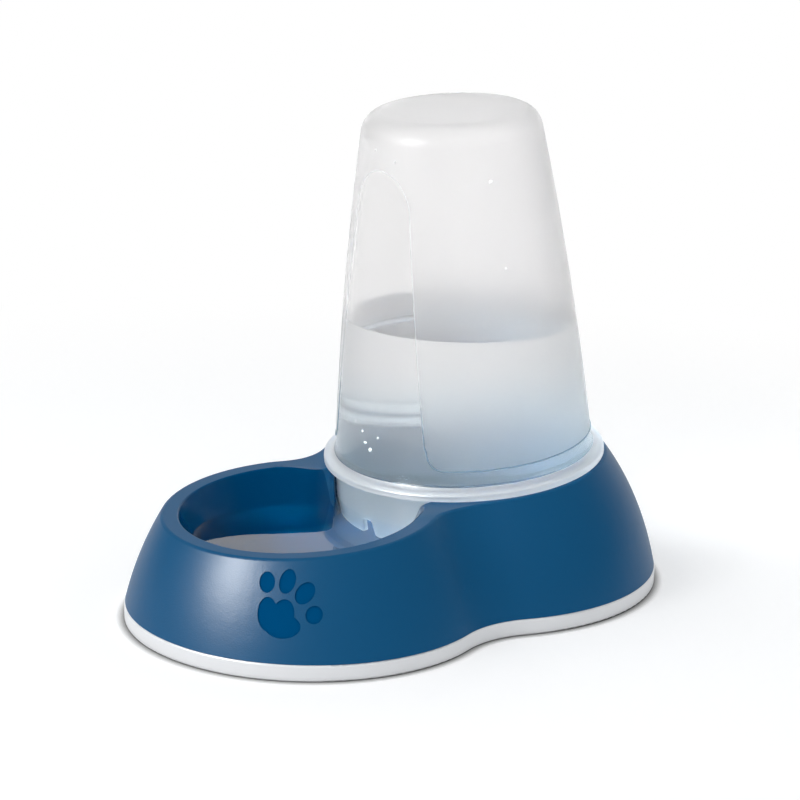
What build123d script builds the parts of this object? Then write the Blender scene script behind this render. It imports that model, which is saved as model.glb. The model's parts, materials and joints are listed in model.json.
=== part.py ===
from build123d import *
import os
from math import atan2, cos, hypot, radians, sin, sqrt, tan

# A gravity water dispenser for pets.
# The reservoir stands mouth down in the socket of a bowl-shaped base. Water runs out through a notch in
# its neck until the water in the bowl covers the notch, and air can no longer get in.
# X is across, Y runs from the bowl (minus) to the reservoir (plus) and Z is up.
# The origin is on the floor, in the middle of the footprint. Lengths are in millimetres.

# Footprint: two round lobes joined by hollow waists
overall_length = 290.0
bowl_foot_radius = 88.0
rear_foot_radius = 97.7
foot_waist_radius = 48.0

# Anti-slip ring round the foot: a channel that the edge of the base stands in
ring_height = 8.0
ring_proud = 0.4
ring_wall = 2.2
ring_sole = 2.6
ring_lip_wall = 1.6
ring_lip_height = 6.8
ring_edge_round = 0.9
ring_fit = 0.1

# The rim of the base and the reservoir lean towards the bowl by this many degrees
lean = 5.4

# Base moulding
base_wall = 2.5
tongue_wall = 2.4
tongue_rise = 4.0
floor_top = 8.5
floor_round = 7.0
rim_outer_round = 2.0
rim_inner_round = 1.0

# Bowl end of the base
bowl_rim_y = -62.3
bowl_rim_radius = 66.9
bowl_wall_bulge = 2.0
bowl_inner_radius = 57.8
bowl_inner_bulge = -1.2
bowl_floor_radius = 38.0

# Reservoir end of the base: the shoulder is the land that the collar stands on
shoulder_y = 46.1
shoulder_height = 62.35
shoulder_margin = 0.8
shoulder_slope = 0.78
rear_wall_bulge = 4.6
rim_waist_radius = 38.0
socket_clearance = 1.0
socket_waist_radius = 10.0
floor_waist_radius = 30.0

# The bowl rim stands higher than the shoulder, and an S-shaped step round the collar joins the two.
# From the step on, the rim keeps rising a little towards the front
rim_step = 3.0
rim_rise_angle = 1.0
step_width = 29.0
step_tuck = 2.0

# Reservoir, along its own axis from the underside of its collar
seat_gap = 0.3
reservoir_wall = 2.2
neck_radius = 64.7
neck_length = 45.0
collar_radius = 70.3
collar_lip_height = 3.4
collar_foot_round = 0.5
collar_lip_round = 1.0
collar_cove_height = 4.6
tank_foot_radius = 64.1
tank_mid_radius = 56.1
tank_mid_height = 85.0
tank_top_radius = 42.5
tank_top_height = 178.9
tank_dome = 4.6
tank_corner_radius = 11.6

# Notch in the neck, on the bowl side
notch_turn = -3.0
notch_height = 24.0
notch_width = 6.5
notch_foot_width = 8.0
notch_flare = 3.0

# Paw print sunk into the bowl wall, at a turn from the front in degrees and a height over the floor
paw_turn = 40.5
paw_height = 33.5
paw_depth = 0.6

# Places that follow from the sizes
bowl_foot_y = bowl_foot_radius - overall_length / 2
rear_foot_y = overall_length / 2 - rear_foot_radius
socket_radius = neck_radius + socket_clearance
shoulder_radius = collar_radius + shoulder_margin
lean_across = sin(radians(lean))
lean_up = cos(radians(lean))
lean_plane = Plane(
    origin=(0, shoulder_y, shoulder_height),
    x_dir=(1, 0, 0),
    z_dir=(0, -lean_across, lean_up),
)

# The walls are drawn through these shares of the rise from the foot to the rim, and run on past the rim
section_rises = (0.0, 0.55, 1.1)

# Two places closer than this count as touching
touch = 0.01


def between(low, high, share):
    return low + (high - low) * share


def on_lean_plane(along, up):
    """The (y, z) place that lies this far along the lean plane and this far above it."""
    point = lean_plane.from_local_coords((0, along, up))
    return point.Y, point.Z


bowl_rim_centre = on_lean_plane((bowl_rim_y - shoulder_y) / lean_up, rim_step)
rear_rim_centre = on_lean_plane(0, rim_step)
rear_rim_radius = shoulder_radius - rim_step * shoulder_slope


def lobed_outline(plane, bowl, rear, waist):
    """Face of two round lobes, each (place along the plane, radius), with tangent hollow waists."""
    bowl_y, bowl_r = bowl
    rear_y, rear_r = rear
    span = rear_y - bowl_y
    bowl_reach = bowl_r + waist
    rear_reach = rear_r + waist
    along = (bowl_reach**2 - rear_reach**2 + span**2) / (2 * span)
    across = sqrt(bowl_reach**2 - along**2)
    bowl_tangent = (across * bowl_r / bowl_reach, bowl_y + along * bowl_r / bowl_reach)
    rear_tangent = (across * rear_r / rear_reach, rear_y - (span - along) * rear_r / rear_reach)
    waist_middle = (across - waist, bowl_y + along)
    left = [(-x, y) for x, y in (bowl_tangent, waist_middle, rear_tangent)]
    edges = [
        ThreePointArc(bowl_tangent, waist_middle, rear_tangent),
        ThreePointArc(rear_tangent, (0, rear_y + rear_r), left[2]),
        ThreePointArc(left[2], left[1], left[0]),
        ThreePointArc(left[0], (0, bowl_y - bowl_r), bowl_tangent),
    ]
    return plane * make_face(edges)


def section_plane(bowl_centre, rear_centre):
    """Plane across the object through two (y, z) centres, and how far apart they are on it."""
    dy = rear_centre[0] - bowl_centre[0]
    dz = rear_centre[1] - bowl_centre[1]
    tilt = atan2(dz, dy)
    plane = Plane(
        origin=(0, rear_centre[0], rear_centre[1]),
        x_dir=(1, 0, 0),
        z_dir=(0, -sin(tilt), cos(tilt)),
    )
    return plane, hypot(dy, dz)


def skirt(inset=0.0):
    """Solid inside the outer wall of the base, or this far inside that wall."""
    sections = []
    for rise in section_rises:
        swell = 4 * rise * (1 - rise)
        bowl_centre = (
            between(bowl_foot_y, bowl_rim_centre[0], rise),
            between(ring_height, bowl_rim_centre[1], rise),
        )
        rear_centre = (
            between(rear_foot_y, rear_rim_centre[0], rise),
            between(ring_height, rear_rim_centre[1], rise),
        )
        bowl_r = between(bowl_foot_radius - ring_proud, bowl_rim_radius, rise) + bowl_wall_bulge * swell
        rear_r = between(rear_foot_radius - ring_proud, rear_rim_radius, rise) + rear_wall_bulge * swell
        waist = between(foot_waist_radius + ring_proud, rim_waist_radius, rise)
        plane, span = section_plane(bowl_centre, rear_centre)
        sections.append(lobed_outline(plane, (-span, bowl_r - inset), (0, rear_r - inset), waist + inset))
    return loft(sections)


def basin(skin=0.0):
    """Hollow of the bowl and the socket, or that hollow with walls of this thickness."""
    floor = floor_top - skin
    floor_lean = (shoulder_height - floor) * lean_across / lean_up
    sections = []
    for rise in section_rises:
        swell = 4 * rise * (1 - rise)
        bowl_centre = (
            between(bowl_rim_y, bowl_rim_centre[0], rise),
            between(floor, bowl_rim_centre[1], rise),
        )
        rear_centre = (
            between(shoulder_y + floor_lean, rear_rim_centre[0], rise),
            between(floor, rear_rim_centre[1], rise),
        )
        bowl_r = between(bowl_floor_radius, bowl_inner_radius, rise) + bowl_inner_bulge * swell
        waist = between(floor_waist_radius, socket_waist_radius, rise)
        plane, span = section_plane(bowl_centre, rear_centre)
        sections.append(
            lobed_outline(plane, (-span, bowl_r + skin), (0, socket_radius + skin), waist - skin)
        )
    return loft(sections)


def above_rim(drop=0.0):
    """Everything above the shoulder, the step and the bowl rim, or above them lowered by drop."""
    far = overall_length
    inner = collar_radius - step_tuck
    outer = inner + step_width
    slope = tan(radians(rim_rise_angle))
    far_height = rim_step + (far - outer) * slope
    profile = [
        Polyline((0, far), (0, 0), (inner, 0)),
        Spline((inner, 0), (outer, rim_step), tangents=[(1, 0), (1, slope)]),
        Polyline((outer, rim_step), (far, far_height), (far, far), (0, far)),
    ]
    return lean_plane.offset(-drop) * revolve(Plane.XZ * make_face(profile), Axis.Z)


def foot_prism(inset, bottom, top):
    """Upright block on the footprint, this far inside its outline, between two heights."""
    face = lobed_outline(
        Plane.XY.offset(bottom),
        (bowl_foot_y, bowl_foot_radius - inset),
        (rear_foot_y, rear_foot_radius - inset),
        foot_waist_radius + inset,
    )
    return extrude(face, top - bottom)


def foot_band(outer_inset, inner_inset, bottom, top):
    """Upright band between two outlines inside the footprint."""
    return foot_prism(outer_inset, bottom, top) - foot_prism(inner_inset, bottom, top)


def oval(x, y, half_width, half_height, turn):
    return Pos(x, y) * Rot(0, 0, turn) * Ellipse(half_width, half_height)


def paw_prisms():
    """The toes and the pad of a plain paw print, as prisms that run through the bowl wall."""
    across = (cos(radians(paw_turn)), sin(radians(paw_turn)), 0)
    outward = (sin(radians(paw_turn)), -cos(radians(paw_turn)), 0)
    wall_x = outward[0] * bowl_foot_radius
    wall_y = bowl_foot_y + outward[1] * bowl_foot_radius
    plane = Plane(origin=(wall_x, wall_y, paw_height), x_dir=across, z_dir=outward)
    # Each oval is its centre, its half width and half height, and its turn in degrees
    toes = [
        (-8.5, 8.5, 3.6, 4.3, 0),
        (0.7, 9.4, 3.6, 5.1, -16),
        (8.9, 4.8, 3.9, 5.0, -42),
        (13.6, -4.1, 3.8, 3.8, 0),
    ]
    pad_ovals = [
        (-7.2, -4.6, 4.7, 7.2, 5),
        (-0.2, -4.3, 5.0, 6.4, -8),
        (-0.3, -9.3, 8.2, 5.1, 0),
    ]
    shapes = [oval(*toe) for toe in toes]
    shapes.append(oval(*pad_ovals[0]) + oval(*pad_ovals[1]) + oval(*pad_ovals[2]))
    reach = bowl_foot_radius - bowl_rim_radius + base_wall
    prisms = []
    for shape in shapes:
        prisms += extrude(plane * shape, reach, both=True).solids()
    return prisms


def rim_edges(body):
    """Edges round the land on top of the base, without the seams across the land."""
    land_edges = []
    for face in body.faces():
        if min(lean_plane.to_local_coords(vertex.center()).Z for vertex in face.vertices()) > -touch:
            land_edges += face.edges()
    return [edge for edge in land_edges if land_edges.count(edge) == 1]


def make_base():
    """The base: a skirt, a rim, and the basin of the bowl and the socket, in one moulding."""
    above = above_rim()
    outside = skirt() - above
    outside = fillet(rim_edges(outside), rim_outer_round)
    inside = basin()
    floor_edges = inside.faces().sort_by(Axis.Z)[0].edges()
    inside = fillet(floor_edges, floor_round)
    body = outside - (skirt(base_wall) - above_rim(base_wall)) + (basin(base_wall) - above) - inside
    inner_edges = [edge for edge in rim_edges(body) if inside.distance_to(edge @ 0.5) < touch]
    body = fillet(inner_edges, rim_inner_round)
    print_depth = skirt() - skirt(paw_depth)
    for prism in paw_prisms():
        body -= print_depth & prism
    tongue_inset = ring_wall + ring_fit
    tongue_bottom = ring_sole + ring_fit
    tongue_top = ring_height + tongue_rise
    return body + foot_band(tongue_inset, tongue_inset + tongue_wall, tongue_bottom, tongue_top)


def make_ring():
    """The soft ring: an outer wall, a sole and a low inner lip round the edge of the base."""
    lip_inset = ring_wall + ring_fit + tongue_wall + ring_fit
    hole_inset = lip_inset + ring_lip_wall
    top = ring_height - ring_fit
    block = foot_prism(0, 0, top)
    block = fillet(block.edges().filter_by(GeomType.CIRCLE), ring_edge_round)
    channel = foot_band(ring_wall, lip_inset, ring_sole, ring_height)
    over_lip = foot_band(ring_wall, hole_inset, ring_lip_height, ring_height)
    return block - channel - over_lip - foot_prism(hole_inset, 0, ring_height)


def tank_outline(inset):
    """Half outline of the tank above its collar, from its foot to the top of its axis."""
    foot = collar_lip_height + collar_cove_height
    edge = (tank_top_radius - inset, tank_top_height - tank_dome - inset)
    side = ThreePointArc(
        (tank_foot_radius - inset, foot),
        (tank_mid_radius - inset, tank_mid_height),
        edge,
    )
    dome = TangentArc((0, tank_top_height - inset), edge, tangent=(1, 0))
    return side, dome


def turned(edges, rounds):
    """Solid turned about the upright axis from a half outline, with some of its corners rounded."""
    face = make_face(edges)
    for corner, radius in rounds:
        face = fillet(face.vertices().sort_by_distance(corner)[0], radius)
    return revolve(Plane.XZ * face, Axis.Z)


def make_reservoir():
    """The reservoir: tank, collar and notched neck in one moulding, standing in the socket."""
    side, dome = tank_outline(0)
    lip_foot = (collar_radius, 0)
    lip_top = (collar_radius, collar_lip_height)
    wall_way = side.tangent_at(0)
    outer = turned(
        [
            Polyline((0, tank_top_height), (0, -neck_length), (neck_radius, -neck_length)),
            Polyline((neck_radius, -neck_length), (neck_radius, 0), lip_foot, lip_top),
            TangentArc(side @ 0, lip_top, tangent=(-wall_way.X, -wall_way.Y)),
            side,
            dome,
        ],
        [
            (lip_foot, collar_foot_round),
            (lip_top, collar_lip_round),
            ((tank_top_radius, tank_top_height - tank_dome), tank_corner_radius),
        ],
    )
    side, dome = tank_outline(reservoir_wall)
    neck_inner = neck_radius - reservoir_wall
    top = tank_top_height - reservoir_wall
    below = -neck_length - reservoir_wall
    inner = turned(
        [
            Polyline((0, top), (0, below), (neck_inner, below), (neck_inner, 0), side @ 0),
            side,
            dome,
        ],
        [((tank_top_radius - reservoir_wall, top - tank_dome), tank_corner_radius - reservoir_wall)],
    )
    return lean_plane.offset(seat_gap) * (outer - inner - notch())


def notch():
    """Round-topped slot with a flared foot, through the neck wall on the bowl side."""
    half = notch_width / 2
    foot = notch_foot_width / 2
    flare = notch_flare
    shape = [
        Line((-foot - flare, 0), (foot + flare, 0)),
        RadiusArc((foot + flare, 0), (foot, flare), flare),
        Line((foot, flare), (half, notch_height - half)),
        ThreePointArc((half, notch_height - half), (0, notch_height), (-half, notch_height - half)),
        Line((-half, notch_height - half), (-foot, flare)),
        RadiusArc((-foot, flare), (-foot - flare, 0), flare),
    ]
    turn = radians(notch_turn)
    plane = Plane(
        origin=(0, 0, -neck_length),
        x_dir=(cos(turn), sin(turn), 0),
        z_dir=(sin(turn), -cos(turn), 0),
    )
    return extrude(plane * make_face(shape), collar_radius)


def main():
    nodes = {
        "base": make_base(),
        "anti_slip_ring": make_ring(),
        "reservoir": make_reservoir(),
    }
    os.makedirs("parts", exist_ok=True)
    for name, node in nodes.items():
        export_step(node, f"parts/{name}.step")


if __name__ == "__main__":
    main()
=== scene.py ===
"""Looks and stage of a gravity water dispenser for pets. Lengths are in metres."""

import json
from math import acos, atan2, cos, hypot, pi, radians, sin, sqrt

import bmesh
import bpy
from bpy.props import FloatProperty, FloatVectorProperty, IntProperty, PointerProperty
from mathutils import Matrix, Vector


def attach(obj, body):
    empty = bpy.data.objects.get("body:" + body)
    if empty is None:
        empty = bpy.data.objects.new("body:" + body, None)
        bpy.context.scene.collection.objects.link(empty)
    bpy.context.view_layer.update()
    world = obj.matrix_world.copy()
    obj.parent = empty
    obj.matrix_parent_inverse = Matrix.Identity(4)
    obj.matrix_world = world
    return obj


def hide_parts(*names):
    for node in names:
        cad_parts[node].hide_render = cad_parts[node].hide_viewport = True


bl_info = {
    "name": "Pet water dispenser",
    "version": (1, 0, 0),
    "blender": (4, 5, 0),
    "location": "3D View > Sidebar > Dispenser",
    "description": "Dresses and fills a pet water dispenser and sets its stage",
    "category": "Add Mesh",
}

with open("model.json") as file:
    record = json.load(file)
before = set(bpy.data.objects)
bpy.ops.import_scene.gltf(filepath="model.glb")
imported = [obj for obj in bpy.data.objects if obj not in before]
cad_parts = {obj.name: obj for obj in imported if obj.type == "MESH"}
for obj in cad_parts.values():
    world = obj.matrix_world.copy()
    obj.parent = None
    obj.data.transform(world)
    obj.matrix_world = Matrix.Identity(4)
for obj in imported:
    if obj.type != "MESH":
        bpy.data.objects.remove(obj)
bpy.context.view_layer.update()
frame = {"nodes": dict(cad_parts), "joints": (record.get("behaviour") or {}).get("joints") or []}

# The reservoir lifts off along its own leaning axis, so the joint tells how far it leans
lift_axis = Vector(frame["joints"][0]["axis"])
LEAN = atan2(-lift_axis.y, lift_axis.z)

BASE_BODY = "base"
RESERVOIR_BODY = "reservoir"
MM = 0.001
PLASTIC_IOR = 1.49
WATER_IOR = 1.333
# Half the width over which one finish of a piece passes into the next
FINISH_BLUR = 0.2 * MM
COLOUR = {"subtype": "COLOR", "size": 3, "min": 0.0, "max": 1.0}
LENGTH = {"unit": "LENGTH", "subtype": "DISTANCE", "precision": 5}
ANGLE = {"unit": "ROTATION", "subtype": "ANGLE"}
SHARE = {"subtype": "FACTOR", "min": 0.0, "max": 1.0}


class BaseSettings(bpy.types.PropertyGroup):
    """Finish of the base moulding and of the ring under it."""

    blue: FloatVectorProperty(
        name="Blue", description="Colour of the base", default=(0.0, 0.086, 0.215), **COLOUR
    )
    print_blue: FloatVectorProperty(
        name="Print blue",
        description="Colour of the sunk paw print",
        default=(0.0, 0.07, 0.2),
        **COLOUR,
    )
    # Painted shade: the blue inside the bowl and the socket is made darker to stand for the shade that
    # falls there
    shaded_basin_blue: FloatVectorProperty(
        name="Basin blue",
        description="Colour inside the bowl, which looks deeper where it is polished",
        default=(0.0, 0.058, 0.165),
        **COLOUR,
    )
    shine: FloatProperty(
        name="Shine",
        description="Strength of the base's reflections, 0.5 for plain plastic",
        default=0.16,
    )
    satin: FloatProperty(
        name="Satin", description="Roughness of the outside and the rim", default=0.4, **SHARE
    )
    polish: FloatProperty(
        name="Polish", description="Roughness inside the bowl", default=0.05, **SHARE
    )
    print_polish: FloatProperty(
        name="Print polish", description="Roughness of the paw print", default=0.05, **SHARE
    )
    ring_white: FloatVectorProperty(
        name="Ring white", description="Colour of the soft ring", default=(0.83, 0.84, 0.855), **COLOUR
    )
    ring_satin: FloatProperty(
        name="Ring satin", description="Roughness of the soft ring", default=0.4, **SHARE
    )


class ReservoirSettings(bpy.types.PropertyGroup):
    """Finish of the reservoir, and the outline of the clear window in its frosted wall."""

    tint: FloatVectorProperty(
        name="Tint", description="Colour of the plastic", default=(0.9, 0.895, 0.895), **COLOUR
    )
    # Painted glow: the base's blue light in the wall's foot is painted into the plastic's colour near the
    # collar and fades out up the wall
    painted_foot_glow: FloatVectorProperty(
        name="Foot tint",
        description="Colour of the plastic at the collar, where the base's blue glows in it",
        default=(0.69, 0.785, 0.835),
        **COLOUR,
    )
    painted_glow_reach: FloatProperty(
        name="Glow reach", description="How far up the wall the blue glows", default=0.035, **LENGTH
    )
    clearness: FloatProperty(
        name="Clearness", description="Share of the light that passes", default=0.92, **SHARE
    )
    bend: FloatProperty(
        name="Bend", description="Index of refraction of the wall", default=1.38, min=1.0
    )
    gloss_tint: FloatVectorProperty(
        name="Gloss tint",
        description="Strength and colour of the wall's reflections, seen straight on",
        default=(0.08, 0.08, 0.08),
        **COLOUR,
    )
    film: FloatVectorProperty(
        name="Film",
        description="Share of the lamps' light that passes each face of the wall",
        default=(0.6, 0.6, 0.605),
        **COLOUR,
    )
    milk: FloatVectorProperty(
        name="Milk", description="Colour of the lip", default=(0.9, 0.93, 0.96), **COLOUR
    )
    wet_milk: FloatVectorProperty(
        name="Wet milk", description="Colour of the neck", default=(0.84, 0.925, 0.97), **COLOUR
    )
    lip_clearness: FloatProperty(
        name="Lip clearness",
        description="Share of the light that passes the lip",
        default=0.5,
        **SHARE,
    )
    neck_clearness: FloatProperty(
        name="Neck clearness",
        description="Share of the light that passes the neck",
        default=0.86,
        **SHARE,
    )
    milk_roughness: FloatProperty(
        name="Milk roughness", description="Roughness of the lip and the neck", default=0.3, **SHARE
    )
    clear_roughness: FloatProperty(
        name="Clear roughness", description="Roughness of the window", default=0.12, **SHARE
    )
    frost_roughness: FloatProperty(
        name="Frost roughness", description="Roughness of the frosted wall", default=0.35, **SHARE
    )
    frost_foot: FloatProperty(
        name="Frost foot",
        description="Height of the frosted wall's lower edge over the collar's underside",
        default=0.013,
        **LENGTH,
    )
    corner_radius: FloatProperty(
        name="Corner radius",
        description="Round of the frosted wall's lower corners",
        default=0.009,
        **LENGTH,
    )
    window_turn: FloatProperty(
        name="Window turn",
        description="Turn of the window's middle off the bowl side",
        default=radians(-2.0),
        **ANGLE,
    )
    window_half: FloatProperty(
        name="Window half width",
        description="Half the window's width at the collar, as a turn about the axis",
        default=radians(32.3),
        **ANGLE,
    )
    window_taper: FloatProperty(
        name="Window taper",
        description="How much narrower the window's half is at the foot of its arch",
        default=radians(9.9),
        **ANGLE,
    )
    arch_foot: FloatProperty(
        name="Arch foot", description="Height where the window's arch begins", default=0.133, **LENGTH
    )
    arch_rise: FloatProperty(
        name="Arch rise", description="Height of the window's arch", default=0.0205, **LENGTH
    )
    edge_radius: FloatProperty(
        name="Edge radius", description="Round of the bead along the window", default=0.0004, **LENGTH
    )
    # Painted shade: the dark line under the step along the window's lower edge
    step_shade: FloatVectorProperty(
        name="Step shade",
        description="Colour of the bead's lower stretch",
        default=(0.28, 0.4, 0.5),
        **COLOUR,
    )


class WaterSettings(bpy.types.PropertyGroup):
    """Levels and looks of the water in the bowl and in the reservoir."""

    bowl_level: FloatProperty(
        name="Bowl level", description="Height of the water in the bowl", default=0.0402, **LENGTH
    )
    reservoir_level: FloatProperty(
        name="Reservoir level",
        description="Height of the water in the reservoir",
        default=0.13385,
        **LENGTH,
    )
    wall_bite: FloatProperty(
        name="Wall bite",
        description="How far the water reaches into the plastic, so that no air shows between",
        default=0.00015,
        **LENGTH,
    )
    turns: IntProperty(
        name="Turns", description="Steps round the water's edge", default=192, min=24
    )
    water_tint: FloatVectorProperty(
        name="Water tint", description="Colour of the water", default=(0.94, 0.945, 0.945), **COLOUR
    )
    bowl_film: FloatVectorProperty(
        name="Bowl film",
        description="Share of the lamps' light that passes the surface of the bowl's water",
        default=(0.45, 0.58, 0.68),
        **COLOUR,
    )
    tank_film: FloatVectorProperty(
        name="Tank film",
        description="Share of the lamps' light that passes each face of the reservoir's water",
        default=(0.9, 0.94, 0.95),
        **COLOUR,
    )
    surface_coat: FloatProperty(
        name="Surface coat", description="Added shine of the bowl's water", default=0.35, **SHARE
    )
    tank_coat: FloatProperty(
        name="Tank coat", description="Added shine of the reservoir's water", default=0.6, **SHARE
    )


class StageSettings(bpy.types.PropertyGroup):
    """Camera, lamps and floor."""

    lens: FloatProperty(
        name="Lens", description="Focal length for a 36 mm sensor, in mm", default=111.52
    )
    azimuth: FloatProperty(
        name="Azimuth",
        description="Turn of the camera round the object",
        default=radians(46.136),
        **ANGLE,
    )
    elevation: FloatProperty(
        name="Elevation",
        description="Angle of the camera over the horizon",
        default=radians(15.286),
        **ANGLE,
    )
    roll: FloatProperty(
        name="Roll", description="Tilt of the camera", default=radians(1.497), **ANGLE
    )
    distance: FloatProperty(
        name="Distance", description="From the camera to its target", default=1.20685, **LENGTH
    )
    target: FloatVectorProperty(
        name="Target",
        description="Where the camera looks",
        default=(0.0, 0.0007, 0.097175),
        unit="LENGTH",
        subtype="TRANSLATION",
    )
    key_power: FloatProperty(
        name="Key power", description="Power of the key lamp, in watts", default=5.2
    )
    sheen_power: FloatProperty(
        name="Sheen power",
        description="Power of the lamp that only gloss shows, in watts",
        default=82.0,
    )
    room_light: FloatProperty(
        name="Room light", description="Strength of the light from all round", default=0.74
    )
    front_light: FloatProperty(
        name="Front light", description="How bright the room in front looks in gloss", default=0.0
    )
    top_light: FloatProperty(
        name="Top light", description="How bright the room overhead looks in gloss", default=0.15
    )
    front_turn: FloatProperty(
        name="Front turn",
        description="Turn of the dark room's middle from the camera towards the key lamp",
        default=radians(15.0),
        **ANGLE,
    )


def settings(name):
    """The scene's property group of this name."""
    return getattr(bpy.context.scene, name)


# Mesh helpers

SMOOTH_ANGLE = radians(35)


def merge_doubles(mesh_builder, gap):
    bmesh.ops.remove_doubles(mesh_builder, verts=mesh_builder.verts, dist=gap)


def finish_mesh(name, mesh_builder):
    """Object from a bmesh, with smooth faces and creases where it turns sharply."""
    merge_doubles(mesh_builder, 1e-7)
    bmesh.ops.recalc_face_normals(mesh_builder, faces=mesh_builder.faces)
    for face in mesh_builder.faces:
        face.smooth = True
    for edge in mesh_builder.edges:
        edge.smooth = edge.calc_face_angle(pi) < SMOOTH_ANGLE
    mesh = bpy.data.meshes.new(name)
    mesh_builder.to_mesh(mesh)
    mesh_builder.free()
    made = bpy.data.objects.new(name, mesh)
    bpy.context.scene.collection.objects.link(made)
    return made


def edge_chain(mesh_builder, points, closed=False):
    """Edges along a row of points."""
    verts = [mesh_builder.verts.new(point) for point in points]
    ends = verts[1:] + verts[:1] if closed else verts[1:]
    return [mesh_builder.edges.new(pair) for pair in zip(verts, ends)]


def arc(centre, radius, start, end, steps):
    """Points on an arc from one direction to another, both in radians."""
    return [
        (
            centre[0] + radius * cos(start + (end - start) * step / steps),
            centre[1] + radius * sin(start + (end - start) * step / steps),
        )
        for step in range(steps + 1)
    ]


def circle_through(a, b, c):
    """Centre and radius of the circle through three points."""
    (ax, ay), (bx, by), (cx, cy) = a, b, c
    twice = 2 * (ax * (by - cy) + bx * (cy - ay) + cx * (ay - by))
    a2, b2, c2 = ax * ax + ay * ay, bx * bx + by * by, cx * cx + cy * cy
    x = (a2 * (by - cy) + b2 * (cy - ay) + c2 * (ay - by)) / twice
    y = (a2 * (cx - bx) + b2 * (ax - cx) + c2 * (bx - ax)) / twice
    return (x, y), hypot(ax - x, ay - y)


# The reservoir's shape, as in its solid. The seat is the middle of the collar's underside, and each
# place on the tank's wall is a radius and a height over the seat.

SEAT = Vector((0.0, 0.04607, 0.06265))
SEAT_FRAME = Matrix.Translation(SEAT) @ Matrix.Rotation(LEAN, 4, "X")
WALL = 2.2 * MM
NECK_INNER = 62.5 * MM
# The lip's faces lie lower than this and further out than this
LIP_HEIGHT = 5.4 * MM
LIP_INNER = 63.3 * MM
TANK_FOOT = (64.1 * MM, 8.0 * MM)
TANK_MIDDLE = (56.1 * MM, 85.0 * MM)
TANK_TOP = (42.5 * MM, 174.3 * MM)
WALL_CENTRE, WALL_RADIUS = circle_through(TANK_FOOT, TANK_MIDDLE, TANK_TOP)


def tank_radius(height):
    """Outer radius of the tank at a height over the seat."""
    side = 1 if WALL_CENTRE[0] < 0 else -1
    return WALL_CENTRE[0] + side * sqrt(WALL_RADIUS**2 - (height - WALL_CENTRE[1]) ** 2)


def on_tank(height, turn, depth=0.0):
    """Place on the tank's wall or under it, at a height over the seat and a turn from the bowl side."""
    radius = tank_radius(height) - depth
    return SEAT_FRAME @ Vector((radius * sin(turn), -radius * cos(turn), height))


# Node helpers


def add_node(tree, kind, inputs=None, **options):
    """Node with its options set, and its inputs set to values or joined to other nodes' outputs."""
    made = tree.nodes.new(kind)
    for option, value in options.items():
        setattr(made, option, value)
    for socket, value in (inputs or {}).items():
        if isinstance(value, bpy.types.NodeSocket):
            tree.links.new(value, made.inputs[socket])
        else:
            made.inputs[socket].default_value = value
    return made


def maths(tree, operation, *values, clamp=False):
    """Result of a Math node whose inputs are numbers or other nodes' outputs."""
    made = add_node(tree, "ShaderNodeMath", dict(enumerate(values)), operation=operation)
    made.use_clamp = clamp
    return made.outputs[0]


def step_up(tree, value, low, high):
    """0 below low, 1 above high, and a smooth rise between."""
    made = add_node(
        tree,
        "ShaderNodeMapRange",
        {"Value": value, "From Min": low, "From Max": high},
        interpolation_type="SMOOTHSTEP",
    )
    return made.outputs["Result"]


def blend_values(tree, share, first, second):
    made = add_node(
        tree, "ShaderNodeMix", {"Factor": share, "A": first, "B": second}, data_type="FLOAT"
    )
    return made.outputs["Result"]


def blend_colours(tree, share, first, second):
    made = tree.nodes.new("ShaderNodeMix")
    made.data_type = "RGBA"
    colour_inputs = [socket for socket in made.inputs if socket.type == "RGBA"]
    tree.links.new(share, made.inputs["Factor"])
    for socket, value in zip(colour_inputs, (first, second)):
        if isinstance(value, bpy.types.NodeSocket):
            tree.links.new(value, socket)
        else:
            socket.default_value = (*value, 1.0)
    return next(socket for socket in made.outputs if socket.type == "RGBA")


def new_material(name, **principled):
    """Material with one Principled shader, and the values of its sockets."""
    made = bpy.data.materials.new(name)
    made.use_nodes = True
    tree = made.node_tree
    shader = tree.nodes["Principled BSDF"]
    for socket, value in principled.items():
        shader.inputs[socket.replace("_", " ")].default_value = value
    return made, tree, shader


def pass_lamps(tree, shader, film_colour):
    """Let the lamps shine through: their light meets a clear film in place of the glass."""
    rays = add_node(tree, "ShaderNodeLightPath")
    film = add_node(tree, "ShaderNodeBsdfTransparent", {"Color": (*film_colour, 1.0)})
    inputs = {0: rays.outputs["Is Shadow Ray"], 1: shader.outputs[0], 2: film.outputs[0]}
    mixed = add_node(tree, "ShaderNodeMixShader", inputs)
    tree.links.new(mixed.outputs[0], tree.nodes["Material Output"].inputs["Surface"])


def object_place(tree):
    return add_node(tree, "ShaderNodeTexCoord").outputs["Object"]


def length_of(tree, vector):
    return add_node(tree, "ShaderNodeVectorMath", {0: vector}, operation="LENGTH").outputs["Value"]


def local_place(tree, place, origin, turn, scale=(1, 1, 1)):
    """The same place, seen from a turned and moved frame."""
    inputs = {"Vector": place, "Location": origin, "Rotation": turn, "Scale": scale}
    return add_node(tree, "ShaderNodeMapping", inputs, vector_type="TEXTURE").outputs[0]


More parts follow.
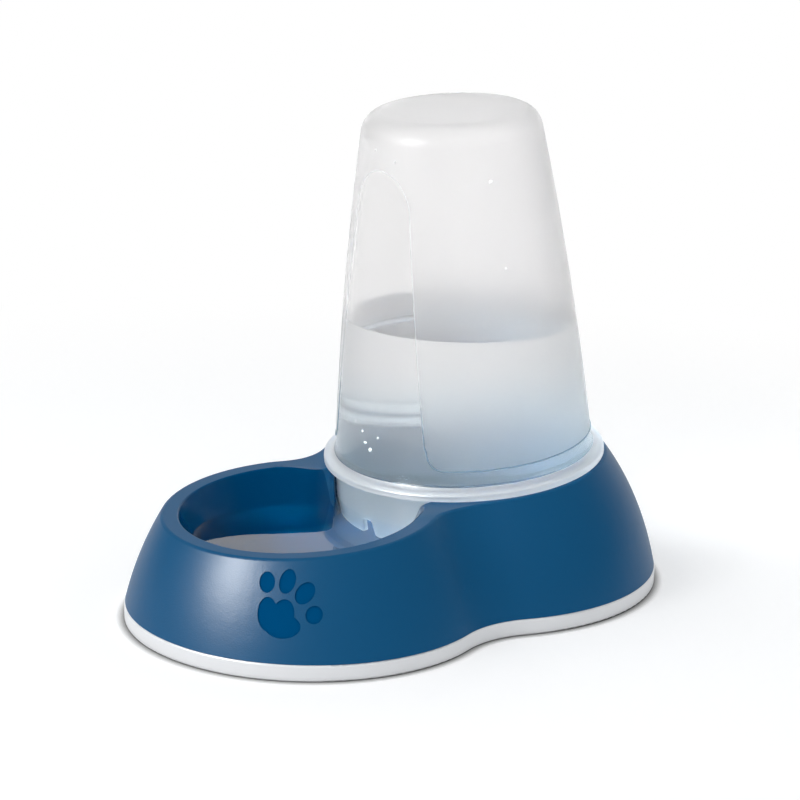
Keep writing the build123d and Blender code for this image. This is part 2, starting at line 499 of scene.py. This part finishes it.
def moulded_grain_group():
    """Shader group: the fine grain of a moulded satin surface, as a normal."""
    name = "moulded_grain"
    if name in bpy.data.node_groups:
        return bpy.data.node_groups[name]
    group = bpy.data.node_groups.new(name, "ShaderNodeTree")
    place = group.interface.new_socket("Place", in_out="INPUT", socket_type="NodeSocketVector")
    place.hide_value = True
    group.interface.new_socket("Grains per metre", in_out="INPUT", socket_type="NodeSocketFloat")
    group.interface.new_socket("Depth", in_out="INPUT", socket_type="NodeSocketFloat")
    group.interface.new_socket("Normal", in_out="OUTPUT", socket_type="NodeSocketVector")
    source = group.nodes.new("NodeGroupInput")
    result = group.nodes.new("NodeGroupOutput")
    noise = add_node(
        group,
        "ShaderNodeTexNoise",
        {
            "Vector": source.outputs["Place"],
            "Scale": source.outputs["Grains per metre"],
            "Detail": 2.0,
        },
    )
    bump = add_node(
        group,
        "ShaderNodeBump",
        {"Height": noise.outputs["Fac"], "Distance": source.outputs["Depth"]},
    )
    group.links.new(bump.outputs["Normal"], result.inputs["Normal"])
    return group


def add_grain(tree, place, grains, depth):
    """Normal of a surface with this many grains per metre, this deep."""
    inputs = {"Place": place, "Grains per metre": grains, "Depth": depth}
    made = add_node(tree, "ShaderNodeGroup", inputs, node_tree=moulded_grain_group())
    return made.outputs["Normal"]


# The base

BASE_GRAINS = 1500.0
BASE_GRAIN_DEPTH = 0.06 * MM
RING_GRAINS = 900.0
RING_GRAIN_DEPTH = 0.02 * MM
BOWL_CENTRE = Vector((0.0, -0.0624, 0.0))
BOWL_EDGE = 58.4 * MM
SOCKET_CENTRE = Vector((0.0, 0.047, 0.0))
SOCKET_EDGE = 66.4 * MM
# How softly the bowl's edge runs into the socket's
WAIST_BLEND = 8 * MM
PAW_TURN = radians(40.5)
PAW_PLACE = Vector((0.057152, -0.123916, 0.0335))
# How far off its middle plane the print reaches, as the wall is round and leans
PAW_REACH = 20 * MM
# Half the width of the print's edge, as a share of an oval's half width
PAW_BLUR = 0.02
# Each oval of the paw print: its centre, its half width and half height in mm, and its turn in degrees
PAW_OVALS = (
    (-8.5, 8.5, 3.6, 4.3, 0),
    (0.7, 9.4, 3.6, 5.1, -16),
    (8.9, 4.8, 3.9, 5.0, -42),
    (13.6, -4.1, 3.8, 3.8, 0),
    (-7.2, -4.6, 4.7, 7.2, 5),
    (-0.2, -4.3, 5.0, 6.4, -8),
    (-0.3, -9.3, 8.2, 5.1, 0),
)


def basin_mask(tree, place):
    """1 inside the bowl and the socket, 0 on the rim and outside."""
    flat = add_node(
        tree, "ShaderNodeVectorMath", {0: place, 1: (1, 1, 0)}, operation="MULTIPLY"
    ).outputs[0]
    reaches = []
    for centre, edge in ((BOWL_CENTRE, BOWL_EDGE), (SOCKET_CENTRE, SOCKET_EDGE)):
        far = add_node(
            tree, "ShaderNodeVectorMath", {0: flat, 1: centre}, operation="DISTANCE"
        ).outputs["Value"]
        reaches.append(maths(tree, "SUBTRACT", far, edge))
    nearest = maths(tree, "SMOOTH_MIN", *reaches, WAIST_BLEND)
    return maths(tree, "SUBTRACT", 1.0, step_up(tree, nearest, -FINISH_BLUR, FINISH_BLUR))


def paw_mask(tree, place):
    """1 inside the ovals of the paw print, 0 elsewhere."""
    on_print = local_place(tree, place, PAW_PLACE, (pi / 2, 0, PAW_TURN))
    away = maths(tree, "ABSOLUTE", add_node(tree, "ShaderNodeSeparateXYZ", {0: on_print}).outputs["Z"])
    flat = add_node(
        tree, "ShaderNodeVectorMath", {0: on_print, 1: (1, 1, 0)}, operation="MULTIPLY"
    ).outputs[0]
    nearest = None
    for x, y, half_width, half_height, turn in PAW_OVALS:
        scale = (half_width * MM, half_height * MM, 1)
        in_oval = local_place(tree, flat, (x * MM, y * MM, 0), (0, 0, radians(turn)), scale)
        far = length_of(tree, in_oval)
        nearest = far if nearest is None else maths(tree, "MINIMUM", nearest, far)
    inside = maths(tree, "SUBTRACT", 1.0, step_up(tree, nearest, 1 - PAW_BLUR, 1 + PAW_BLUR))
    return maths(tree, "MULTIPLY", inside, maths(tree, "LESS_THAN", away, PAW_REACH))


def blue_plastic():
    """Satin plastic with a fine grain, polished in the bowl and in the print, with painted shade darkening
    its blue inside the bowl and the socket.
    """
    values = settings("dispenser_base")
    made, tree, shader = new_material(
        "blue_plastic", IOR=PLASTIC_IOR, Specular_IOR_Level=values.shine
    )
    place = object_place(tree)
    basin = basin_mask(tree, place)
    paw = paw_mask(tree, place)
    rough = blend_values(tree, basin, values.satin, values.polish)
    rough = blend_values(tree, paw, rough, values.print_polish)
    # Painted shade: a darker blue inside the bowl and the socket
    colour = blend_colours(tree, basin, values.blue, values.shaded_basin_blue)
    colour = blend_colours(tree, paw, colour, values.print_blue)
    tree.links.new(rough, shader.inputs["Roughness"])
    tree.links.new(colour, shader.inputs["Base Color"])
    grain_depth = blend_values(tree, paw, BASE_GRAIN_DEPTH, 0.0)
    tree.links.new(add_grain(tree, place, BASE_GRAINS, grain_depth), shader.inputs["Normal"])
    return made


def soft_white():
    values = settings("dispenser_base")
    made, tree, shader = new_material(
        "soft_white", Base_Color=(*values.ring_white, 1.0), Roughness=values.ring_satin
    )
    grain = add_grain(tree, object_place(tree), RING_GRAINS, RING_GRAIN_DEPTH)
    tree.links.new(grain, shader.inputs["Normal"])
    return made


class DISPENSER_OT_base(bpy.types.Operator):
    """Give the base and its ring their plastics."""

    bl_idname = "dispenser.base"
    bl_label = "Base and ring"

    def execute(self, context):
        frame["nodes"]["base"].material_slots[0].material = blue_plastic()
        frame["nodes"]["anti_slip_ring"].material_slots[0].material = soft_white()
        return {"FINISHED"}


# The reservoir

# A smooth minimum this many times as wide as the corner's radius follows the bead's round corner
CORNER_BLEND = 1.76
# The bead along the window pales between these heights over the seat, and its opacity goes down with it
BEAD_PALES = (20 * MM, 60 * MM)
BEAD_OPACITY = (0.6, 0.15)


def frost_mask(tree, split):
    """1 on the frosted wall, 0 in the window and on the clear band, the collar and the neck."""
    values = settings("dispenser_reservoir")
    height = split.outputs["Z"]
    front = maths(tree, "MULTIPLY", split.outputs["Y"], -1.0)
    turn = maths(tree, "ARCTAN2", split.outputs["X"], front)
    off_middle = maths(tree, "ABSOLUTE", maths(tree, "SUBTRACT", turn, values.window_turn))
    half_per_metre = values.window_taper / values.arch_foot
    half = maths(tree, "MULTIPLY_ADD", height, -half_per_metre, values.window_half)
    beside = maths(tree, "SUBTRACT", off_middle, half)
    beside = maths(tree, "MULTIPLY", beside, tank_radius(values.frost_foot))
    arch_half = values.window_half - values.window_taper
    across = maths(tree, "DIVIDE", off_middle, arch_half)
    up = maths(tree, "DIVIDE", maths(tree, "SUBTRACT", height, values.arch_foot), values.arch_rise)
    squares = [maths(tree, "POWER", part, 2.0) for part in (across, up)]
    reach = maths(tree, "SQRT", maths(tree, "ADD", *squares))
    over_arch = maths(tree, "MULTIPLY", maths(tree, "SUBTRACT", reach, 1.0), values.arch_rise)
    in_arch = maths(tree, "GREATER_THAN", height, values.arch_foot)
    outside_window = blend_values(tree, in_arch, beside, over_arch)
    over_foot = maths(tree, "SUBTRACT", height, values.frost_foot)
    corner_blend = values.corner_radius * CORNER_BLEND
    inside_frost = maths(tree, "SMOOTH_MIN", over_foot, outside_window, corner_blend)
    return step_up(tree, inside_frost, -FINISH_BLUR, FINISH_BLUR)


def wall_plastic():
    """Milky plastic of the tank, clear in the window, with the base's blue glow painted into its foot."""
    values = settings("dispenser_reservoir")
    made, tree, shader = new_material(
        "wall_plastic",
        IOR=values.bend,
        Specular_Tint=(*values.gloss_tint, 1.0),
        Transmission_Weight=values.clearness,
    )
    on_axis = local_place(tree, object_place(tree), SEAT, (LEAN, 0, 0))
    split = add_node(tree, "ShaderNodeSeparateXYZ", {0: on_axis})
    frost = frost_mask(tree, split)
    rough = blend_values(tree, frost, values.clear_roughness, values.frost_roughness)
    tree.links.new(rough, shader.inputs["Roughness"])
    # Painted glow: the plastic's colour turns to the base's blue near the collar
    over_foot = step_up(tree, split.outputs["Z"], 0.0, values.painted_glow_reach)
    tint = blend_colours(tree, over_foot, values.painted_foot_glow, values.tint)
    tree.links.new(tint, shader.inputs["Base Color"])
    pass_lamps(tree, shader, values.film)
    return made


def milky_plastic(name, colour, clearness):
    """Cloudier plastic of the lip or the neck."""
    values = settings("dispenser_reservoir")
    made, tree, shader = new_material(
        name,
        Base_Color=(*colour, 1.0),
        Roughness=values.milk_roughness,
        IOR=PLASTIC_IOR,
        Transmission_Weight=clearness,
    )
    pass_lamps(tree, shader, values.film)
    return made


def step_plastic():
    """Plastic of the bead along the window, shaded near the collar and pale above."""
    values = settings("dispenser_reservoir")
    made, tree, shader = new_material("step_plastic", Roughness=0.6, Specular_IOR_Level=0.1)
    on_axis = local_place(tree, object_place(tree), SEAT, (LEAN, 0, 0))
    height = add_node(tree, "ShaderNodeSeparateXYZ", {0: on_axis}).outputs["Z"]
    pale = step_up(tree, height, *BEAD_PALES)
    colour = blend_colours(tree, pale, values.step_shade, values.milk)
    tree.links.new(colour, shader.inputs["Base Color"])
    tree.links.new(blend_values(tree, pale, *BEAD_OPACITY), shader.inputs["Alpha"])
    return made


def dressed_reservoir(materials):
    """Copy of the reservoir's mesh with one material for its wall, one for its lip and one for its neck."""
    mesh = frame["nodes"]["reservoir"].data.copy()
    mesh.name = "reservoir_wall"
    mesh.materials.clear()
    for material in materials:
        mesh.materials.append(material)
    to_seat = SEAT_FRAME.inverted()
    for face in mesh.polygons:
        spot = to_seat @ face.center
        on_lip = 0 < spot.z < LIP_HEIGHT and spot.xy.length > LIP_INNER
        face.material_index = 2 if spot.z < 0 else 1 if on_lip else 0
    made = bpy.data.objects.new("reservoir_wall", mesh)
    bpy.context.scene.collection.objects.link(made)
    return made


def window_outline():
    """Heights and turns along the frosted wall's edge, from the back round the window and back again."""
    values = settings("dispenser_reservoir")
    foot = values.frost_foot
    foot_half = values.window_half - values.window_taper * foot / values.arch_foot
    arch_half = values.window_half - values.window_taper
    corner = values.corner_radius
    corner_turn = corner / tank_radius(foot)
    side = []
    back_steps, corner_steps, side_steps, arch_steps = 90, 10, 40, 24
    for step in range(back_steps):
        side.append((foot, pi + (foot_half + corner_turn - pi) * step / back_steps))
    for step in range(corner_steps + 1):
        bend = pi / 2 * step / corner_steps
        side.append((foot + corner * (1 - cos(bend)), foot_half + corner_turn * (1 - sin(bend))))
    for step in range(1, side_steps):
        height = foot + corner + (values.arch_foot - foot - corner) * step / side_steps
        side.append((height, values.window_half - values.window_taper * height / values.arch_foot))
    for step in range(arch_steps):
        bend = pi / 2 * step / arch_steps
        side.append((values.arch_foot + values.arch_rise * sin(bend), arch_half * cos(bend)))
    other = [(height, -turn) for height, turn in reversed(side[1:])]
    top = [(values.arch_foot + values.arch_rise, 0.0)]
    return [(height, turn + values.window_turn) for height, turn in side + top + other]


class DISPENSER_OT_reservoir(bpy.types.Operator):
    """Give the reservoir its plastics and add the bead along its window."""

    bl_idname = "dispenser.reservoir"
    bl_label = "Reservoir"

    def execute(self, context):
        self.wall()
        self.window_edge()
        return {"FINISHED"}

    def wall(self):
        values = settings("dispenser_reservoir")
        lip = milky_plastic("lip_plastic", values.milk, values.lip_clearness)
        neck = milky_plastic("neck_plastic", values.wet_milk, values.neck_clearness)
        wall = dressed_reservoir((wall_plastic(), lip, neck))
        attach(wall, RESERVOIR_BODY)
        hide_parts("reservoir")

    def window_edge(self):
        points = [on_tank(height, turn) for height, turn in window_outline()]
        line = bpy.data.curves.new("window_edge", "CURVE")
        line.dimensions = "3D"
        line.bevel_depth = settings("dispenser_reservoir").edge_radius
        line.bevel_resolution = 2
        spline = line.splines.new("POLY")
        spline.points.add(len(points) - 1)
        spline.use_cyclic_u = True
        for spot, point in zip(spline.points, points):
            spot.co = (*point, 1.0)
        bead = bpy.data.objects.new("window_edge", line)
        bpy.context.scene.collection.objects.link(bead)
        bead.data.materials.append(step_plastic())
        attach(bead, RESERVOIR_BODY)


# The water

# How far the bowl's water reaches into the base's wall, and how far it overlaps the reservoir's water
BASIN_BITE = 1.2 * MM
WATER_OVERLAP = 0.5 * MM
# The basin's inside, as in the base's solid, at its floor and at the water's level
BASIN_FLOOR = 7.5 * MM
BOWL_FLOOR_RADIUS = 38.0 * MM
BOWL_LEVEL_RADIUS = 50.6 * MM
SOCKET_RADIUS = 65.7 * MM
SOCKET_FLOOR_Y = 51.2 * MM
SOCKET_LEVEL_Y = 48.1 * MM
FLOOR_WAIST = 30.0 * MM
LEVEL_WAIST = 16.2 * MM
# The neck's water starts this far under the seat, and is then cut off at the bowl's level
NECK_REACH = 40 * MM
TANK_STEPS = 40


def lobed_outline(height, bowl_radius, socket_y, waist, steps):
    """Outline of the bowl and the socket at a height, joined by hollow waists."""
    bowl_y = BOWL_CENTRE.y
    span = socket_y - bowl_y
    bowl_reach, socket_reach = bowl_radius + waist, SOCKET_RADIUS + waist
    bowl_turn = acos((bowl_reach**2 + span**2 - socket_reach**2) / (2 * bowl_reach * span))
    socket_turn = acos((socket_reach**2 + span**2 - bowl_reach**2) / (2 * socket_reach * span))
    waist_y = bowl_y + bowl_reach * cos(bowl_turn)
    waist_x = bowl_reach * sin(bowl_turn)
    up = pi / 2
    points = arc((0, socket_y), SOCKET_RADIUS, -up + socket_turn, 3 * up - socket_turn, steps)
    points += arc((-waist_x, waist_y), waist, up - socket_turn, bowl_turn - up, steps // 4)[1:]
    points += arc((0, bowl_y), bowl_radius, up + bowl_turn, 5 * up - bowl_turn, steps)[1:]
    points += arc((waist_x, waist_y), waist, 3 * up - bowl_turn, up + socket_turn, steps // 4)[1:-1]
    return [(x, y, height) for x, y in points]


def water_material(name, film, coat):
    """Clear water with an added shine, which the lamps pass as they would a film of this colour."""
    values = settings("dispenser_water")
    made, tree, shader = new_material(
        name,
        Base_Color=(*values.water_tint, 1.0),
        Roughness=0.0,
        IOR=WATER_IOR,
        Transmission_Weight=1.0,
        Coat_Weight=coat,
        Coat_Roughness=0.0,
    )
    pass_lamps(tree, shader, film)
    return made


class DISPENSER_OT_water(bpy.types.Operator):
    """Fill the bowl and the reservoir."""

    bl_idname = "dispenser.water"
    bl_label = "Water"

    def execute(self, context):
        values = settings("dispenser_water")
        open_water = water_material("open_water", values.bowl_film, values.surface_coat)
        tank_water = water_material("tank_water", values.tank_film, values.tank_coat)
        for filled, body, water in (
            (self.bowl_water(), BASE_BODY, open_water),
            (self.reservoir_water(), RESERVOIR_BODY, tank_water),
        ):
            filled.data.materials.append(water)
            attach(filled, body)
        return {"FINISHED"}

    def bowl_water(self):
        values = settings("dispenser_water")
        half = values.turns // 2
        builder = bmesh.new()
        floor = (BASIN_FLOOR, BOWL_FLOOR_RADIUS, SOCKET_FLOOR_Y, FLOOR_WAIST)
        level = (values.bowl_level, BOWL_LEVEL_RADIUS, SOCKET_LEVEL_Y, LEVEL_WAIST)
        edges = []
        for height, bowl_radius, socket_y, waist in (floor, level):
            outline = lobed_outline(
                height, bowl_radius + BASIN_BITE, socket_y, waist - BASIN_BITE, half
            )
            loop = edge_chain(builder, outline, closed=True)
            bmesh.ops.contextual_create(builder, geom=loop)
            edges += loop
        bmesh.ops.bridge_loops(builder, edges=edges)
        return finish_mesh("bowl_water", builder)

    def reservoir_water(self):
        values = settings("dispenser_water")
        depth = WALL - values.wall_bite
        neck_radius = NECK_INNER + values.wall_bite
        # The shape goes up past the water's level and is cut off there below
        reach = values.reservoir_level
        profile = [(0, 0, -NECK_REACH), (0, -neck_radius, -NECK_REACH), (0, -neck_radius, 0)]
        for step in range(TANK_STEPS + 1):
            height = TANK_FOOT[1] + (reach - TANK_FOOT[1]) * step / TANK_STEPS
            profile.append((0, depth - tank_radius(height), height))
        profile.append((0, 0, reach))
        builder = bmesh.new()
        edge_chain(builder, profile)
        bmesh.ops.spin(
            builder,
            geom=builder.verts[:] + builder.edges[:],
            cent=(0, 0, 0),
            axis=(0, 0, 1),
            angle=2 * pi,
            steps=values.turns,
            use_merge=True,
        )
        merge_doubles(builder, 1e-6)
        bmesh.ops.transform(builder, matrix=SEAT_FRAME, verts=builder.verts)
        for level, way in ((values.reservoir_level, 1), (values.bowl_level - WATER_OVERLAP, -1)):
            cut = bmesh.ops.bisect_plane(
                builder,
                geom=builder.verts[:] + builder.edges[:] + builder.faces[:],
                plane_co=(0, 0, level),
                plane_no=(0, 0, way),
                clear_outer=True,
            )
            rim = [item for item in cut["geom_cut"] if isinstance(item, bmesh.types.BMEdge)]
            bmesh.ops.contextual_create(builder, geom=rim)
        return finish_mesh("reservoir_water", builder)


# Drops on the wall and bubbles in the water: height over the seat in mm, turn in degrees, radius in mm
DROPS = ((162.8, -8.4, 0.6), (158.8, 8.9, 0.7), (149.2, 67.8, 1.1), (108.5, 71.9, 0.8))
BUBBLES = (
    (29.1, -13.8, 0.4),
    (25.6, -7.7, 0.6),
    (24.5, 2.9, 0.6),
    (20.4, -5.3, 0.7),
    (17.6, -1.8, 1.1),
)
# How far the bubbles' middles lie under the wall's outer face
BUBBLE_DEPTH = WALL + 1.4 * MM


class DISPENSER_OT_drops(bpy.types.Operator):
    """Put drops on the reservoir's wall and bubbles in its water."""

    bl_idname = "dispenser.drops"
    bl_label = "Drops and bubbles"

    def execute(self, context):
        # Painted highlight: the clear drops and bubbles get a plain white with no reflection, standing for
        # their glints
        drop = new_material(
            "drop",
            Base_Color=(1, 1, 1, 1),
            Roughness=0.3,
            IOR=WATER_IOR,
            Specular_IOR_Level=0.0,
        )[0]
        for name, spots, depth in (
            ("wall_drops", DROPS, 0.0),
            ("water_bubbles", BUBBLES, BUBBLE_DEPTH),
        ):
            builder = bmesh.new()
            for height, turn, radius in spots:
                place = on_tank(height * MM, radians(turn), depth)
                bmesh.ops.create_icosphere(
                    builder, subdivisions=3, radius=radius * MM, matrix=Matrix.Translation(place)
                )
            made = finish_mesh(name, builder)
            made.data.materials.append(drop)
            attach(made, RESERVOIR_BODY)
        return {"FINISHED"}


# The stage

# The floor's half width, its colour, and the glow that makes its lit part as white as the background
FLOOR_HALF = 8.0
FLOOR_GREY = 0.9
FLOOR_GLOW = 0.22
# Distance from the middle over which the floor fades into the background
FLOOR_FADE = (0.3, 0.65)
# The contact shade: how far it reaches off a piece, its rays, and the power that deepens it
SHADE_REACH = 5 * MM
SHADE_RAYS = 16
SHADE_POWER = 2.0
# The room that gloss shows is dark in front and overhead. A direction's product with the front one, and
# its height, pass over these ranges from bright to dark.
FRONT_FADE = (-0.95, -0.45)
OVERHEAD_FADE = (0.4, 0.75)
ROOM_COLOUR = (0.97, 0.985, 1.0, 1.0)
WHITE = (1.0, 1.0, 1.0, 1.0)
# Each lamp's azimuth and elevation in degrees, its distance and its size
KEY_LAMP = (-4, 34, 1.3, (0.6, 0.6))
SHEEN_LAMP = (-7, 26, 1.3, (0.45, 0.5))
SENSOR_WIDTH_IN_MM = 36.0


def towards(azimuth, elevation):
    """Direction from the object to a place that is turned round it and raised over the horizon."""
    return Vector((sin(azimuth) * cos(elevation), -cos(azimuth) * cos(elevation), sin(elevation)))


def seen_rays(tree, rays):
    """1 for what the camera sees directly, in gloss or through glass, 0 for the light on the object."""
    seen = maths(tree, "ADD", rays.outputs["Is Camera Ray"], rays.outputs["Is Glossy Ray"])
    return maths(tree, "ADD", seen, rays.outputs["Is Transmission Ray"], clamp=True)


def stage_floor_material():
    """White floor that keeps the object's shadow near it and fades into the background."""
    made = bpy.data.materials.new("floor_white")
    made.use_nodes = True
    tree = made.node_tree
    tree.nodes.clear()
    far = length_of(tree, object_place(tree))
    seen = seen_rays(tree, add_node(tree, "ShaderNodeLightPath"))
    crevice = add_node(
        tree, "ShaderNodeAmbientOcclusion", {"Distance": SHADE_REACH}, samples=SHADE_RAYS
    )
    open_share = maths(tree, "POWER", crevice.outputs["AO"], SHADE_POWER)
    grey = maths(tree, "MULTIPLY", open_share, FLOOR_GREY)
    lit = add_node(tree, "ShaderNodeBsdfDiffuse", {"Color": grey})
    glow = maths(tree, "MULTIPLY", maths(tree, "MULTIPLY", seen, FLOOR_GLOW), open_share)
    glow = add_node(tree, "ShaderNodeEmission", {"Strength": glow})
    near = add_node(tree, "ShaderNodeAddShader", {0: lit.outputs[0], 1: glow.outputs[0]})
    white = add_node(tree, "ShaderNodeEmission", {"Strength": 1.0})
    fade = maths(tree, "MULTIPLY", step_up(tree, far, *FLOOR_FADE), seen)
    mixed = add_node(
        tree, "ShaderNodeMixShader", {0: fade, 1: near.outputs[0], 2: white.outputs[0]}
    )
    add_node(tree, "ShaderNodeOutputMaterial", {"Surface": mixed.outputs[0]})
    return made


def studio_world():
    """White behind the object, and a dark room in front of it and over it that only gloss shows."""
    values = settings("dispenser_stage")
    world = bpy.data.worlds.new("studio")
    world.use_nodes = True
    tree = world.node_tree
    tree.nodes.clear()
    rays = add_node(tree, "ShaderNodeLightPath")
    direction = add_node(tree, "ShaderNodeTexCoord").outputs["Generated"]
    front = towards(values.azimuth - values.front_turn, 0.0)
    facing = add_node(
        tree, "ShaderNodeVectorMath", {0: direction, 1: front}, operation="DOT_PRODUCT"
    ).outputs["Value"]
    in_front = step_up(tree, facing, *FRONT_FADE)
    in_front = maths(tree, "MULTIPLY", in_front, 1.0 - values.front_light)
    height = add_node(tree, "ShaderNodeSeparateXYZ", {0: direction}).outputs["Z"]
    overhead = step_up(tree, height, *OVERHEAD_FADE)
    overhead = maths(tree, "MULTIPLY", overhead, 1.0 - values.top_light)
    dark = maths(tree, "MAXIMUM", in_front, overhead)
    dark = maths(tree, "MULTIPLY", dark, rays.outputs["Is Glossy Ray"])
    bright = maths(tree, "SUBTRACT", 1.0, dark)
    seen = seen_rays(tree, rays)
    room = add_node(
        tree, "ShaderNodeBackground", {"Color": ROOM_COLOUR, "Strength": values.room_light}
    )
    white = add_node(tree, "ShaderNodeBackground", {"Color": WHITE, "Strength": bright})
    mixed = add_node(
        tree, "ShaderNodeMixShader", {0: seen, 1: room.outputs[0], 2: white.outputs[0]}
    )
    add_node(tree, "ShaderNodeOutputWorld", {"Surface": mixed.outputs[0]})
    return world


def area_lamp(name, azimuth, elevation, distance, size, power):
    """Lamp that points at the camera's target, with its place in degrees round the object."""
    target = settings("dispenser_stage").target
    lamp = bpy.data.lights.new(name, "AREA")
    lamp.shape = "RECTANGLE"
    lamp.size, lamp.size_y = size
    lamp.energy = power
    made = bpy.data.objects.new(name, lamp)
    bpy.context.scene.collection.objects.link(made)
    back = towards(radians(azimuth), radians(elevation))
    made.location = Vector(target) + back * distance
    made.rotation_mode = "QUATERNION"
    made.rotation_quaternion = (-back).to_track_quat("-Z", "Y")
    return made


class DISPENSER_OT_stage(bpy.types.Operator):
    """Set up the floor, the lamps, the surroundings and the camera."""

    bl_idname = "dispenser.stage"
    bl_label = "Stage"

    def execute(self, context):
        self.floor()
        self.light()
        self.camera()
        return {"FINISHED"}

    def floor(self):
        builder = bmesh.new()
        bmesh.ops.create_grid(builder, x_segments=1, y_segments=1, size=FLOOR_HALF)
        floor = finish_mesh("floor", builder)
        floor.data.materials.append(stage_floor_material())

    def light(self):
        values = settings("dispenser_stage")
        bpy.context.scene.world = studio_world()
        area_lamp("key_lamp", *KEY_LAMP, values.key_power)
        sheen = area_lamp("sheen_lamp", *SHEEN_LAMP, values.sheen_power)
        sheen.visible_diffuse = False
        sheen.visible_transmission = False

    def camera(self):
        values = settings("dispenser_stage")
        scene = bpy.context.scene
        back = towards(values.azimuth, values.elevation)
        right = Vector((cos(values.azimuth), sin(values.azimuth), 0))
        up = back.cross(right)
        tilted_right = right * cos(values.roll) + up * sin(values.roll)
        tilted_up = up * cos(values.roll) - right * sin(values.roll)
        lens = bpy.data.cameras.new("camera")
        lens.lens = values.lens
        lens.sensor_width = SENSOR_WIDTH_IN_MM
        camera = bpy.data.objects.new("camera", lens)
        scene.collection.objects.link(camera)
        turned = Matrix((tilted_right, tilted_up, back)).transposed().to_4x4()
        place = Vector(values.target) + back * values.distance
        camera.matrix_world = Matrix.Translation(place) @ turned
        scene.camera = camera
        scene.view_settings.view_transform = "Standard"


class DISPENSER_PT_panel(bpy.types.Panel):
    """Buttons for the dispenser's pieces and its stage, with their sizes and colours."""

    bl_label = "Water dispenser"
    bl_idname = "DISPENSER_PT_panel"
    bl_space_type = "VIEW_3D"
    bl_region_type = "UI"
    bl_category = "Dispenser"

    def draw(self, context):
        for kind, group in OPERATORS:
            self.layout.operator(kind.bl_idname)
            values = getattr(context.scene, group)
            for name in values.__annotations__:
                self.layout.prop(values, name)


OPERATORS = (
    (DISPENSER_OT_base, "dispenser_base"),
    (DISPENSER_OT_reservoir, "dispenser_reservoir"),
    (DISPENSER_OT_water, "dispenser_water"),
    (DISPENSER_OT_drops, "dispenser_water"),
    (DISPENSER_OT_stage, "dispenser_stage"),
)
GROUPS = (
    ("dispenser_base", BaseSettings),
    ("dispenser_reservoir", ReservoirSettings),
    ("dispenser_water", WaterSettings),
    ("dispenser_stage", StageSettings),
)


def register():
    for name, group in GROUPS:
        bpy.utils.register_class(group)
        setattr(bpy.types.Scene, name, PointerProperty(type=group))
    for kind, _ in OPERATORS:
        bpy.utils.register_class(kind)
    bpy.utils.register_class(DISPENSER_PT_panel)


def unregister():
    bpy.utils.unregister_class(DISPENSER_PT_panel)
    for kind, _ in reversed(OPERATORS):
        bpy.utils.unregister_class(kind)
    for name, group in reversed(GROUPS):
        delattr(bpy.types.Scene, name)
        bpy.utils.unregister_class(group)


def main():
    register()
    bpy.ops.dispenser.base()
    bpy.ops.dispenser.reservoir()
    bpy.ops.dispenser.water()
    bpy.ops.dispenser.drops()
    bpy.ops.dispenser.stage()


if __name__ == "__main__":
    main()
